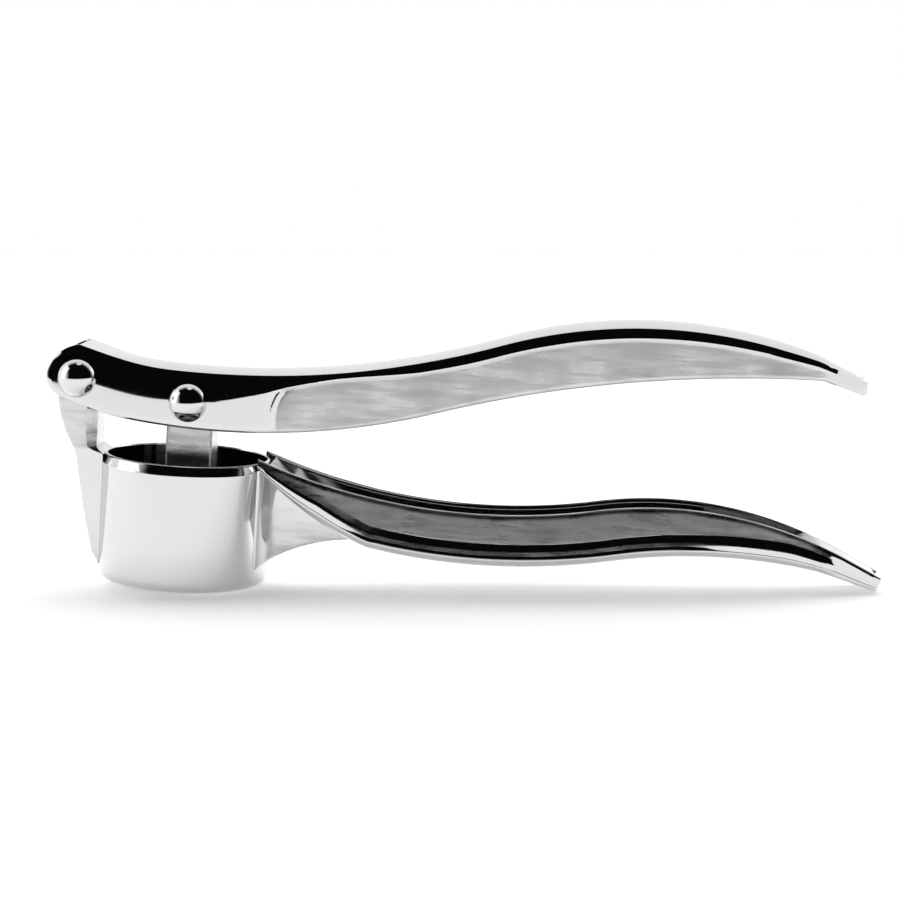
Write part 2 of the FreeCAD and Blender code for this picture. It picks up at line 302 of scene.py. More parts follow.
def along(points, x):
    """Height over x of a chain of points."""
    ordered = sorted(points)
    for a, b in zip(ordered, ordered[1:]):
        if a[0] <= x <= b[0]:
            return mix(a[1], b[1], (x - a[0]) / max(b[0] - a[0], 1e-9))
    return ordered[0][1] if x < ordered[0][0] else ordered[-1][1]


def upper_crown(x):
    """Height of the upper handle's back, in the middle."""
    if x < HEAD_TOP[0]:
        return along(HEAD_CROWN, x)
    if x > UPPER_TAB_TOP:
        return along([(UPPER_TAB_TOP, UPPER_TOP(UPPER_TAB_TOP)), UPPER_TIP[0]], x)
    return UPPER_TOP(x) + 0.0054 * max(0.0, -6 - x) ** 2


def crest(x):
    """How far the rounded back of the upper handle stands above its bevels."""
    return 0.75 * smooth(-19, -3, x) + 0.3 * smooth(25, 75, x) - 0.45 * smooth(104, 118, x)


def upper_top(x):
    """Height of the upper handle's top edges, at its sides."""
    return upper_crown(x) - crest(x)


def upper_bottom(x):
    """Height of the upper handle's bottom edges."""
    if x < HEEL_FRONT:
        return along([HEAD_HEEL, (HEEL_FRONT, UPPER_EDGE(HEEL_FRONT))], x)
    if x > UPPER_TAB_BOTTOM:
        return along([(UPPER_TAB_BOTTOM, UPPER_EDGE(UPPER_TAB_BOTTOM)), UPPER_TIP[1]], x)
    return UPPER_EDGE(x)


def upper_core(x):
    """Height of the line inside the wall where its columns of points end."""
    return (upper_top(x) + upper_bottom(x)) / 2


def bevel_height(x):
    """Height of the bevel, no more than its share of the wall."""
    return min(along(BEVEL_HEIGHT, x), 0.55 * (upper_top(x) - upper_bottom(x)))


def bevel_reach(x):
    """Depth below the top edge at which the bevel's curve runs out."""
    return bevel_height(x) * mix(1.16, 1.0, smooth(6, 24, x))


def before_tab(x):
    """1 along the upper handle, 0 at its tail tab."""
    return 1 - smooth(110, 114, x)


def past_front(x, rise):
    """How far a point lies inside the rounded front end of the sunk panel."""
    over = rise - PANEL_CORNER[1]
    behind = PANEL_CORNER[0] - x
    if over <= 0:
        return PANEL_ROUND[0] - behind
    if behind <= 0:
        return PANEL_ROUND[1] - over - behind
    share = math.hypot(behind / PANEL_ROUND[0], over / PANEL_ROUND[1])
    return math.hypot(behind, over) * (1 / share - 1)


def upper_sunk(x, drop, rise):
    """Depth of the sunk panel and of the raised line round its front end."""
    deep = bevel_height(x)
    below_bevel = smooth(deep + 0.15, deep + 0.7, drop)
    return below_bevel * along(PANEL_FRONT, past_front(x, rise)) * before_tab(x)


def upper_outside(x, drop, rise):
    """Half the upper handle's width at a point, given its distances from the two edges."""
    deep = bevel_reach(x)
    bend = mix(2.0, 1.08, smooth(6, 24, x))
    bevel_inset = min(1.9, 0.84 * deep / bend) * (1 - smooth(112.8, 114.2, x))
    inset = bevel_inset * max(0.0, 1 - drop / deep) ** bend
    inset += 0.35 * max(0.0, 1 - rise / 0.6) ** 2
    return half_width(x, UPPER_TAIL) - inset - upper_sunk(x, drop, rise)


def upper_inside(to_edge, lowness):
    """Half the width of the hollow, which opens a little at the wall's edges."""
    return WALL_INSIDE + (0.4 * (1 - to_edge / 0.4) if to_edge < 0.4 else 0.0)


def upper_stations():
    """Places along the upper handle, close together at the panel's front and at the tail."""
    xs = [HINGE[0] + 0.4 * i for i in range(84)]
    xs += [14.4 + 0.16 * i for i in range(52)]
    xs += [22.8 + 0.8 * i for i in range(110)]
    xs += [110.9 + 0.4 * i for i in range(19)]
    return sorted({round(x, 3) for x in xs if x < UPPER_END} | {UPPER_END})


def upper_rows(x, lowness):
    """Shares of the way from the rim to the core line, close together at bevel and panel."""
    half = (upper_top(x) - upper_bottom(x)) / 2
    deep = bevel_reach(x)
    marks = [deep * m for m in (0, 0.03, 0.1, 0.22, 0.36, 0.52, 0.68, 0.82, 0.93, 0.985, 1.0)]
    marks += [deep + m for m in (0.1, 0.2, 0.28, 0.36, 0.44, 0.52, 0.6, 0.7, 0.8, 1.0, 1.4)]
    if marks[-1] > half * 0.97:
        marks = [m * half * 0.97 / marks[-1] for m in marks]
    last = marks[-1] / half
    return [m / half for m in marks] + [mix(last, 1.0, (i + 1) / 6) for i in range(6)]


def upper_web():
    """The back of the handle: rounded above, hollow below, solid at the tail."""
    rings = []
    start = HINGE[0] - 0.3
    xs = [start, start + 0.2, start + 0.6] + [start + 1.2 * i for i in range(1, 115)]
    for x in xs + [119.2, 119.75]:
        crown = upper_crown(x)
        ceiling = crown - mix(1.5, 1.8, smooth(-19, -12, x))
        floor = mix(ceiling, upper_bottom(x) + 0.02, smooth(104, 109, x))
        soft = 0.35 if x < start + 0.1 or x > 119.5 else 0.0
        edge = upper_outside(x, 0.0, 9.0) - 0.01
        ring = []
        for i in range(25):
            across = -1 + i / 12
            ring.append((x, across * edge, crown - crest(x) * across ** 2 - soft - 0.004))
        inner = min(edge - 0.1, WALL_INSIDE + 0.3)
        ring += [(x, inner, upper_top(x) - 0.45), (x, inner, floor + soft)]
        ring += [(x, -inner, floor + soft), (x, -inner, upper_top(x) - 0.45)]
        rings.append(ring)
    return loft(rings)


def upper_shells():
    """The upper handle's back and its two side walls."""
    head_fan = HEAD_CROWN + arc(HEAD_BACK, (-24.3, 34.2), HEAD_HEEL, 14)[1:]
    head_fan = [p for p in head_fan if p[0] < HINGE[0] - 0.05]
    head_fan += between(HEAD_HEEL, (HINGE[0], upper_bottom(HINGE[0])), 6)[1:-1]
    tail_fan = between((UPPER_END, upper_bottom(UPPER_END)), UPPER_TIP[1], 3)[1:]
    tail_fan += between(UPPER_TIP[1], UPPER_TIP[0], 6)[1:]
    tail_fan += between(UPPER_TIP[0], (UPPER_END, upper_top(UPPER_END)), 3)[1:-1]
    shells = [upper_web()]
    for side in (-1, 1):
        shells.append(wall(upper_stations(), upper_top, upper_bottom, upper_core, head_fan,
                           tail_fan, upper_rows, upper_outside, upper_inside, side))
    return shells


# ---------------------------------------------------------------- lower handle
LOWER_TIP = ((125.2, 9.5), (124.2, 7.2))
LOWER_END = 123.6
LOWER_TAB_TOP = 118
LOWER_TAB_BOTTOM = 116
ROOT = (13.5, 22.0)
SWEEP = arc((34, LOWER_BOTTOM(34)), (22.6, 14.5), ROOT, 60)
# The beads at a wall's foot: distance from the bottom edge, inset of the face where the upper bead
# leans back, and inset where it stands upright.
BEAD_FACE = [(0, 1.2, 1.2), (0.2, 0.78, 0.78), (0.45, 0.42, 0.42), (0.75, 0.16, 0.16),
             (1.05, 0.03, 0.03), (1.3, 0.0, 0.0), (1.38, 0.01, 0.01), (1.44, 0.15, 0.15),
             (1.56, 0.18, 0.16), (1.95, 0.27, 0.17), (2.05, 0.29, 0.17), (2.7, 0.37, 0.19),
             (2.8, 0.39, 0.22), (2.95, 0.42, 0.27), (3.1, 0.45, 0.32), (3.5, 0.53, 0.42),
             (4.05, 0.62, 0.55), (4.15, 0.63, 0.57)]
BEADS_DEPTH = 4.15
BEADS_CORE = 5.0
MOST_INSET = 1.35
TOP_ROUNDING = 0.85


def lower_top(x):
    """Height of the lower handle's top edges."""
    if x > LOWER_TAB_TOP:
        return along([(LOWER_TAB_TOP, LOWER_EDGE(LOWER_TAB_TOP)), LOWER_TIP[0]], x)
    return LOWER_EDGE(x)


def lower_bottom(x):
    """Height of the lower handle's bottom edge, which sweeps up to the cup's rim."""
    if x > LOWER_TAB_BOTTOM:
        return along([(LOWER_TAB_BOTTOM, LOWER_BOTTOM(LOWER_TAB_BOTTOM)), LOWER_TIP[1]], x)
    if x < 30:
        return along(SWEEP, x)
    return mix(along(SWEEP, x), LOWER_BOTTOM(x), smooth(30, 38, x))


def steepness(x):
    """Cosine of the bottom edge's slope, which turns a height into a distance from the edge."""
    if x > 60:
        return 1.0
    slope = (lower_bottom(x + 0.4) - lower_bottom(x - 0.4)) / 0.8
    return 1 / math.hypot(1, slope)


def bead_fit(x):
    """The beads narrow where the handle is too low for them."""
    height = lower_top(x) - lower_bottom(x)
    return min(1.0, 0.72 * height * steepness(x) / BEADS_DEPTH)


def lower_core(x):
    """Height of the line inside the wall, just above the beads, where its columns end."""
    height = lower_top(x) - lower_bottom(x)
    return lower_bottom(x) + min(BEADS_CORE * bead_fit(x) / steepness(x), 0.88 * height)


def in_sweep(x):
    """1 where the bottom edge sweeps up to the cup, 0 along the grip."""
    return 1 - smooth(27, 38, x)


def beads_upright(x):
    """The upper bead stands upright in the sweep and at the tail and leans back in between."""
    return max(in_sweep(x), smooth(84, 100, x))


def lower_outside(x, drop, rise):
    """Half the width of the lower handle at a point: two beads, then a panel that leans inwards."""
    fit = bead_fit(x)
    off_edge = rise * steepness(x) / fit
    upright = beads_upright(x)
    inset = mix(*BEAD_FACE[-1][1:], upright) + 0.115 * max(0.0, off_edge - BEADS_DEPTH)
    for a, b in zip(BEAD_FACE, BEAD_FACE[1:]):
        if a[0] <= off_edge <= b[0]:
            share = (off_edge - a[0]) / (b[0] - a[0])
            inset = mix(mix(a[1], b[1], share), mix(a[2], b[2], share), upright)
    inset *= mix(0.75, 1.0, smooth(0.45, 0.9, fit)) * (1 - 0.85 * smooth(113, 117, x))
    return half_width(x, LOWER_TAIL) - min(inset, MOST_INSET) - top_round(drop, x)


def top_round(to_edge, x):
    """The rounded top of a wall, as an inset on each of its faces."""
    share = max(0.0, 1 - to_edge / TOP_ROUNDING)
    return 0.52 * (1 - math.sqrt(max(0.0, 1 - share ** 2))) * (1 - 0.6 * smooth(113, 117, x))


def lower_inside(to_edge, lowness):
    """Half the width of the channel, with the rounding at the wall's top."""
    return WALL_INSIDE + (top_round(to_edge, 0) if lowness < 0.5 else 0.0)


def lower_stations():
    """Places along the lower handle, close together in the sweep and at the tail."""
    xs = [ROOT[0] + 0.3 * i for i in range(80)]
    xs += [38 + 0.9 * i for i in range(90)]
    xs += [118 + 0.5 * i for i in range(12)]
    return sorted({round(x, 3) for x in xs if x < LOWER_END} | {LOWER_END})


def lower_rows(x, lowness):
    """Shares of the way from the rim to the core line, as many above it as below."""
    marks = [row[0] / BEADS_CORE for row in BEAD_FACE] + [0.96, 1.0]
    if lowness > 0.5:
        return marks
    height = max(lower_top(x) - lower_core(x), 0.05)
    rounding = min(TOP_ROUNDING, 0.45 * height)
    marks = [rounding * m / height for m in (0, 0.02, 0.07, 0.15, 0.27, 0.42, 0.6, 0.8, 1.0)]
    last = marks[-1]
    even = len(BEAD_FACE) + 2 - len(marks)
    return marks + [mix(last, 1.0, (i + 1) / even) for i in range(even)]


def lower_web():
    """The bottom of the channel, between the two walls."""
    rings = []
    xs = [15.4 + 0.6 * i for i in range(40)] + [39.5 + 1.2 * i for i in range(70)] + [124, 124.6]
    for x in xs:
        bottom = lower_bottom(x) + 0.006
        floor = min(bottom + 1.8 / steepness(x), lower_top(x) - 0.3)
        top = mix(floor, lower_top(x) - 0.02, smooth(107, 112, x))
        edge = half_width(x, LOWER_TAIL) - 1.45
        soft = 0.3 if x > 124.5 else 0.0
        rings.append([(x, -edge, top - soft), (x, edge, top - soft),
                      (x, edge, bottom + soft), (x, -edge, bottom + soft)])
    return loft(rings)


def gusset():
    """The thin web under the beads, flaring where it meets the cup."""
    foot = arc((13.5, 3.4), (22, 8), (34, 9.8), 40)
    rings = []
    for x, bottom in foot:
        half = 3.7 + 3.4 * (1 - smooth(13.6, 18.0, x)) ** 2
        top = max(min(lower_bottom(max(x, 13.5)) + 1.0, 21.6), bottom + 0.3)
        rings.append([(x, -half + 0.5, bottom), (x, -half, bottom + 0.5), (x, -half, top),
                      (x, half, top), (x, half, bottom + 0.5), (x, half - 0.5, bottom)])
    return loft(rings)


def cup_ring():
    """The cup's wall with its rounded foot, bevelled rim and the ledge round the strainer."""
    profile = [(12.9, 0.0), (13.4, 0.0)]
    for i in range(1, 9):
        angle = math.pi / 2 * i / 8
        profile.append((13.5 + 1.75 * math.sin(angle), 1.75 * (1 - math.cos(angle))))
    profile += [(CUP_RADIUS, 2.1), (CUP_RADIUS, 8), (CUP_RADIUS, 16), (CUP_RADIUS, 20.85),
                (CUP_RADIUS, 21.05), (15.26, 21.15), (15.2, 21.25), (14.86, 22.35), (14.8, 22.5),
                (14.7, 22.6), (14.56, 22.66), (14.42, 22.66), (14.34, 22.6), (BORE_RADIUS, 22.5),
                (BORE_RADIUS, 22.3), (BORE_RADIUS, 12), (BORE_RADIUS, 3.5), (14.1, 3.1),
                (13.9, CUP_FLOOR), (12.9, CUP_FLOOR)]
    rings = turned(profile, (0, 0), 240)
    return loft(rings + rings[:1], closed_ends=False)


EAR_RADIUS = 3.3
EAR_HALF = 4.95
EAR_STEP = 0.6
EAR_BACK = [(-14.4, 2.6), (-15.9, 4.6), (-17.0, 9.0), (-17.8, 12.5), (-18.8, 17.8), (-19.5, 21.8),
            (-19.9, 23.1), (-21.4, 25.8), (-22.5, 28.8), (-23.1, 31.6), (-23.0, 33.6)]


def ear():
    """The hinge ear, with cut inner corners; its back runs down the cup as a tapering rib."""
    foot, shoulder = EAR_BACK[0][1], EAR_BACK[-1][1]
    levels = [foot + EAR_STEP * i for i in range(55)]
    levels += [HINGE[1] + EAR_RADIUS * math.sin(math.pi / 2 * i / 20) for i in range(1, 21)]
    rings = []
    for z in levels:
        back = along([(h, b) for b, h in EAR_BACK], z)
        if z > shoulder:
            back = mix(back, HINGE[0] - EAR_RADIUS, smooth(shoulder, HINGE[1], z))
        front = mix(-14.45, HINGE[0] + EAR_RADIUS, smooth(22.3, 23.4, z))
        if z > HINGE[1]:
            reach = math.sqrt(max(EAR_RADIUS ** 2 - (z - HINGE[1]) ** 2, 1e-4))
            back, front = HINGE[0] - reach, HINGE[0] + reach
        fit = min(1.0, (front - back) / 5)
        cut = mix(0.1, 1.7 * fit, smooth(22.3, 23.6, z))
        soft = 0.6 * fit
        ring = [(back + soft, -EAR_HALF), (front - cut, -EAR_HALF), (front, -EAR_HALF + 0.9 * cut)]
        ring += [(x, -y) for x, y in reversed(ring)]
        ring += [(back + 0.3 * soft, EAR_HALF - 0.3 * soft), (back, EAR_HALF - soft),
                 (back, soft - EAR_HALF), (back + 0.3 * soft, 0.3 * soft - EAR_HALF)]
        rings.append([(x, y, z) for x, y in ring])
    return loft(rings)


def lower_shells():
    """The lower casting: the channel handle, the web under it, the cup and the hinge ear."""
    head_fan = between((ROOT[0], lower_top(ROOT[0])), ROOT, 3)[1:-1]
    tail_fan = between((LOWER_END, lower_bottom(LOWER_END)), LOWER_TIP[1], 3)[1:]
    tail_fan += between(LOWER_TIP[1], LOWER_TIP[0], 6)[1:]
    tail_fan += between(LOWER_TIP[0], (LOWER_END, lower_top(LOWER_END)), 3)[1:-1]
    shells = [lower_web(), gusset(), cup_ring(), ear()]
    for side in (-1, 1):
        shells.append(wall(lower_stations(), lower_top, lower_bottom, lower_core, head_fan,
                           tail_fan, lower_rows, lower_outside, lower_inside, side))
    return shells


# ---------------------------------------------------------------- plunger and rivets
DISC_CENTRE = (-0.4, 0.0)
DISC_BOTTOM = 3.3
DISC_TOP = 6.8
STEM = (PIVOT[0] - 4.2, PIVOT[0] + 4.2)
STEM_HALF = 4.0
STEM_FOOT = 6.4
STEM_CROWN = 3.2
STEM_SHOULDER = 31.1
PIN_RADIUS = 1.8
DOME_SEAT = 5.7


def plunger_shells():
    """The plunger's stem, round at the top, and the pressing disc at its foot."""
    crown = arc((PIVOT[0] - STEM_CROWN, PIVOT[1]), (PIVOT[0], PIVOT[1] + STEM_CROWN),
                (PIVOT[0] + STEM_CROWN, PIVOT[1]), 32)
    outline = [(STEM[0], STEM_FOOT), (STEM[0], STEM_SHOULDER),
               (STEM[0] + 0.35, STEM_SHOULDER + 0.6)]
    outline += crown
    outline += [(STEM[1] - 0.35, STEM_SHOULDER + 0.6), (STEM[1], STEM_SHOULDER),
                (STEM[1], STEM_FOOT)]
    profile = [(0.0, DISC_BOTTOM)]
    for i in range(9):
        angle = math.pi / 2 * i / 8
        profile.append((11.0 + math.sin(angle), DISC_BOTTOM + 1.0 - math.cos(angle)))
    for i in range(9):
        angle = math.pi / 2 * i / 8
        profile.append((11.2 + 0.8 * math.cos(angle), DISC_TOP - 0.8 + 0.8 * math.sin(angle)))
    profile += [(5.0, DISC_TOP + 0.1), (0.0, DISC_TOP + 0.1)]
    return [slab(outline, STEM_HALF, 0.8), loft(turned(profile, DISC_CENTRE, 200))]


def rivet_shell(centre):
    """A round pin with a smooth domed head on each side of the handle."""
    cap_radius = (DOME_RADIUS ** 2 + DOME_RISE ** 2) / (2 * DOME_RISE)
    widest = math.asin(DOME_RADIUS / cap_radius)
    seat = HALF_WIDTH
    half = [(0.0, seat + DOME_RISE)]
    for i in range(1, 25):
        angle = widest * i / 24
        fall = cap_radius * (1 - math.cos(angle))
        half.append((cap_radius * math.sin(angle), seat + DOME_RISE - fall))
    half += [(DOME_RADIUS, seat - 0.15), (DOME_RADIUS - 0.12, DOME_SEAT),
             (PIN_RADIUS, DOME_SEAT - 0.02)]
    profile = [(r, -y) for r, y in half] + [(r, y) for r, y in reversed(half)]
    rings = []
    for r, y in profile:
        ring = []
        for i in range(96):
            angle = 2 * math.pi * i / 96
            ring.append((centre[0] + r * math.cos(angle), y, centre[1] + r * math.sin(angle)))
        rings.append(ring)
    return loft(rings)


# ---------------------------------------------------------------- node helpers
def add_node(tree, kind, place=(0, 0), **settings):
    """A new node at a place in the editor, with its settings."""
    node = tree.nodes.new(kind)
    node.location = place
    for key, value in settings.items():
        setattr(node, key, value)
    return node


def join(tree, source, target):
    tree.links.new(source, target)


def math_node(tree, operation, a, b=None):
    """A Math node fed with sockets or numbers; gives its result socket."""
    node = add_node(tree, "ShaderNodeMath", operation=operation)
    for socket, value in zip(node.inputs, (a, b)):
        if isinstance(value, (int, float)):
            socket.default_value = value
        elif value is not None:
            join(tree, value, socket)
    return node.outputs[0]


def ramp(tree, value, low, high, kind="LINEAR"):
    """0 below low, 1 above high, and an even or a soft rise between."""
    limits = add_node(tree, "ShaderNodeMapRange", clamp=True, interpolation_type=kind)
    limits.inputs["From Min"].default_value = low
    limits.inputs["From Max"].default_value = high
    join(tree, value, limits.inputs["Value"])
    return limits.outputs["Result"]


# ---------------------------------------------------------------- strainer
STRAINER = {"Plate radius": CUP_RADIUS - 1.9, "Plate thickness": CUP_FLOOR, "Hole radius": 0.9,
            "Pitch": 3.1, "Reach": 11.6}
GRID_POINTS = 11


def strainer_tree(material):
    """Geometry nodes: a round floor plate with holes on a triangular grid, inside a given reach."""
    tree = bpy.data.node_groups.new("strainer_holes", "GeometryNodeTree")
    face = tree.interface
    face.new_socket("Geometry", in_out="INPUT", socket_type="NodeSocketGeometry")
    for name in STRAINER:
        face.new_socket(name, in_out="INPUT", socket_type="NodeSocketFloat")
    face.new_socket("Geometry", in_out="OUTPUT", socket_type="NodeSocketGeometry")
    given = add_node(tree, "NodeGroupInput").outputs
    row_step = math_node(tree, "MULTIPLY", given["Pitch"], math.sqrt(3) / 2)

    grid = add_node(tree, "GeometryNodeMeshGrid")
    grid.inputs["Vertices X"].default_value = GRID_POINTS
    grid.inputs["Vertices Y"].default_value = GRID_POINTS
    join(tree, math_node(tree, "MULTIPLY", given["Pitch"], GRID_POINTS - 1), grid.inputs["Size X"])
    join(tree, math_node(tree, "MULTIPLY", row_step, GRID_POINTS - 1), grid.inputs["Size Y"])
    place = add_node(tree, "GeometryNodeInputPosition")
    parts = add_node(tree, "ShaderNodeSeparateXYZ")
    join(tree, place.outputs[0], parts.inputs[0])
    row = math_node(tree, "ROUND", math_node(tree, "DIVIDE", parts.outputs["Y"], row_step))
    odd = math_node(tree, "MODULO", math_node(tree, "ABSOLUTE", row), 2)
    half_pitch = math_node(tree, "MULTIPLY", given["Pitch"], 0.5)
    step = math_node(tree, "MULTIPLY", math_node(tree, "SUBTRACT", 1, odd), half_pitch)
    shift = add_node(tree, "ShaderNodeCombineXYZ")
    join(tree, step, shift.inputs["X"])
    stagger = add_node(tree, "GeometryNodeSetPosition")
    join(tree, grid.outputs["Mesh"], stagger.inputs["Geometry"])
    join(tree, shift.outputs[0], stagger.inputs["Offset"])

    away = add_node(tree, "ShaderNodeVectorMath", operation="LENGTH")
    join(tree, place.outputs[0], away.inputs[0])
    outside = math_node(tree, "GREATER_THAN", away.outputs["Value"], given["Reach"])
    trim = add_node(tree, "GeometryNodeDeleteGeometry", domain="POINT")
    join(tree, stagger.outputs[0], trim.inputs["Geometry"])
    join(tree, outside, trim.inputs["Selection"])

    drill = add_node(tree, "GeometryNodeMeshCylinder", fill_type="NGON")
    drill.inputs["Vertices"].default_value = 20
    join(tree, given["Hole radius"], drill.inputs["Radius"])
    join(tree, math_node(tree, "MULTIPLY", given["Plate thickness"], 2), drill.inputs["Depth"])
    drills = add_node(tree, "GeometryNodeInstanceOnPoints")
    join(tree, trim.outputs[0], drills.inputs["Points"])
    join(tree, drill.outputs["Mesh"], drills.inputs["Instance"])
    bits = add_node(tree, "GeometryNodeRealizeInstances")
    join(tree, drills.outputs[0], bits.inputs[0])

    plate = add_node(tree, "GeometryNodeMeshCylinder", fill_type="NGON")
    plate.inputs["Vertices"].default_value = 180
    join(tree, given["Plate radius"], plate.inputs["Radius"])
    join(tree, given["Plate thickness"], plate.inputs["Depth"])
    lift = add_node(tree, "GeometryNodeTransform")
    half_thick = math_node(tree, "MULTIPLY", given["Plate thickness"], 0.5)
    raise_by = add_node(tree, "ShaderNodeCombineXYZ")
    join(tree, half_thick, raise_by.inputs["Z"])
    cut = add_node(tree, "GeometryNodeMeshBoolean", operation="DIFFERENCE")
    join(tree, plate.outputs["Mesh"], cut.inputs["Mesh 1"])
    join(tree, bits.outputs[0], cut.inputs["Mesh 2"])
    join(tree, cut.outputs["Mesh"], lift.inputs["Geometry"])
    join(tree, raise_by.outputs[0], lift.inputs["Translation"])

    solid = add_node(tree, "GeometryNodeRealizeInstances")
    dress = add_node(tree, "GeometryNodeSetMaterial")
    dress.inputs["Material"].default_value = material
    result = add_node(tree, "NodeGroupOutput")
    join(tree, lift.outputs[0], solid.inputs[0])
    join(tree, solid.outputs[0], dress.inputs["Geometry"])
    join(tree, dress.outputs[0], result.inputs[0])
    return tree


def make_strainer(material):
    """The perforated floor of the cup, made by the strainer's nodes and kept as a plain mesh."""
    blank = bpy.data.objects.new("strainer_blank", bpy.data.meshes.new("strainer_blank"))
    bpy.context.scene.collection.objects.link(blank)
    holes = blank.modifiers.new("holes", "NODES")
    holes.node_group = strainer_tree(material)
    for socket in holes.node_group.interface.items_tree:
        if socket.name in STRAINER:
            holes[socket.identifier] = STRAINER[socket.name] * MM
    depsgraph = bpy.context.evaluated_depsgraph_get()
    mesh = bpy.data.meshes.new_from_object(blank.evaluated_get(depsgraph))
    bpy.data.objects.remove(blank)
    mesh.name = "strainer"
    finish_mesh(mesh)
    piece = bpy.data.objects.new("strainer", mesh)
    bpy.context.scene.collection.objects.link(piece)
    dress_piece(piece, material, "base", ())


# ---------------------------------------------------------------- finishes
BRIGHT = (0.69, 0.69, 0.70, 1)
# The darker tone: sanding on the panels, and painted shade on the ear, the web under the handle and
# the plunger.
SANDED_AND_SHADE_TONE = (0.3, 0.3, 0.315, 1)
ALONG_GRAIN = (0.14, 1.0, 1.0)
BUMP_DEPTH = 0.0001
# Painted shade: how far the ear between the lever's side walls, the web under the handle and the
# whole plunger are darkened towards the darker tone, with the mottled haze of the finish;
# STRIP_WEAR is the sanding of the strip between the beads.
EAR_PAINTED_SHADE = 0.4
WEB_PAINTED_SHADE = 0.6
STRIP_WEAR = 0.7
PLUNGER_PAINTED_SHADE = 0.55


def plating_marks():
    """Shader group: marks in bright plating, with a panel mask for the cast, sanded places and for
    painted shade on the ear, the web under the handle and the plunger.
    """
    group = bpy.data.node_groups.new("plating_marks", "ShaderNodeTree")
    face = group.interface
    for name in ("Panel", "Polish", "Haze", "Ripple", "Grey"):
        face.new_socket(name, in_out="INPUT", socket_type="NodeSocketFloat")
    face.new_socket("Along", in_out="INPUT", socket_type="NodeSocketVector")
    face.new_socket("Colour", in_out="OUTPUT", socket_type="NodeSocketColor")
    face.new_socket("Roughness", in_out="OUTPUT", socket_type="NodeSocketFloat")
    face.new_socket("Height", in_out="OUTPUT", socket_type="NodeSocketFloat")
    given = add_node(group, "NodeGroupInput").outputs
    result = add_node(group, "NodeGroupOutput").inputs

    def noise(scale, detail, stretched=False):
        texture = add_node(group, "ShaderNodeTexNoise")
        texture.inputs["Scale"].default_value = scale
        texture.inputs["Detail"].default_value = detail
        if stretched:
            stretch = add_node(group, "ShaderNodeMapping")
            stretch.inputs["Scale"].default_value = ALONG_GRAIN
            join(group, given["Along"], stretch.inputs["Vector"])
            join(group, stretch.outputs[0], texture.inputs["Vector"])
        else:
            join(group, given["Along"], texture.inputs["Vector"])
        return texture.outputs["Fac"]

    blotch = ramp(group, noise(130, 4), 0.38, 0.66)
    streak = ramp(group, noise(900, 6, stretched=True), 0.42, 0.62)
    grain = noise(2300, 3)
    ripple = noise(95, 1.5)
    smudge = ramp(group, noise(60, 5), 0.5, 0.75)
    marks = math_node(group, "MULTIPLY", math_node(group, "ADD", blotch, streak), 0.5)
    panel_haze = math_node(group, "MULTIPLY", given["Haze"], math_node(group, "ADD", marks, 0.6))
    hazed = math_node(group, "MULTIPLY", panel_haze, given["Panel"])
    film = math_node(group, "MULTIPLY", smudge, 0.05)
    rough = math_node(group, "ADD", math_node(group, "ADD", given["Polish"], film), hazed)
    join(group, rough, result["Roughness"])
    waves = math_node(group, "MULTIPLY", ripple, given["Ripple"])
    sanded = math_node(group, "MULTIPLY", math_node(group, "ADD", streak, grain), 0.06)
    rubbed = math_node(group, "MULTIPLY", sanded, given["Panel"])
    join(group, math_node(group, "ADD", waves, rubbed), result["Height"])
    tone = add_node(group, "ShaderNodeMix", data_type="RGBA")
    tone.inputs["A"].default_value = BRIGHT
    tone.inputs["B"].default_value = SANDED_AND_SHADE_TONE
    # Darkening by the panel mask: sanded panels, and painted shade on the ear, web and plunger.
    sanding_and_shade = math_node(group, "MULTIPLY", math_node(group, "ADD", marks, 0.25), given["Panel"])
    join(group, math_node(group, "MULTIPLY", sanding_and_shade, given["Grey"]), tone.inputs["Factor"])
    join(group, tone.outputs["Result"], result["Colour"])
    return group


def plated(name, marks, polish, haze, ripple, grey):
    """Bright plating over cast metal; the panel attribute marks the sanded places and the painted
    shade on the ear, the web under the handle and the plunger.
    """
    material = bpy.data.materials.new(name)
    material.use_nodes = True
    tree = material.node_tree
    shader = tree.nodes["Principled BSDF"]
    shader.inputs["Metallic"].default_value = 1.0
    finish = add_node(tree, "ShaderNodeGroup", (-400, 0), node_tree=marks)
    finish.inputs["Polish"].default_value = polish
    finish.inputs["Haze"].default_value = haze
    finish.inputs["Ripple"].default_value = ripple
    finish.inputs["Grey"].default_value = grey
    place = add_node(tree, "ShaderNodeTexCoord", (-700, 0))
    panel = add_node(tree, "ShaderNodeAttribute", (-700, -300), attribute_name="panel")
    bump = add_node(tree, "ShaderNodeBump", (-200, -300))
    bump.inputs["Strength"].default_value = 1.0
    bump.inputs["Distance"].default_value = BUMP_DEPTH
    join(tree, place.outputs["Object"], finish.inputs["Along"])
    join(tree, panel.outputs["Fac"], finish.inputs["Panel"])
    join(tree, finish.outputs["Colour"], shader.inputs["Base Color"])
    join(tree, finish.outputs["Roughness"], shader.inputs["Roughness"])
    join(tree, finish.outputs["Height"], bump.inputs["Height"])
    join(tree, bump.outputs[0], shader.inputs["Normal"])
    return material


def paint_panel(piece, rule):
    """Stores, from 0 to 1, how far each point of a piece is darkened: sanded panels, and painted
    shade on the ear, the web under the handle and the plunger.
    """
    layer = piece.data.attributes.new("panel", "FLOAT", "POINT")
    values = [rule(*(c / MM for c in vert.co)) for vert in piece.data.vertices]
    layer.data.foreach_set("value", values)


def upper_sanded(x, y, z):
    """The sanding of the upper casting: its sunk panels."""
    drop = upper_top(x) - z
    if abs(y) < half_width(x, UPPER_TAIL) - 1.3 or x < HINGE[0] or drop < 0:
        return 0.0
    deep = bevel_height(x)
    below_bevel = smooth(deep + 0.15, deep + 0.6, drop)
    inside = smooth(0.2, 0.5, past_front(x, z - upper_bottom(x)))
    return below_bevel * inside * before_tab(x)


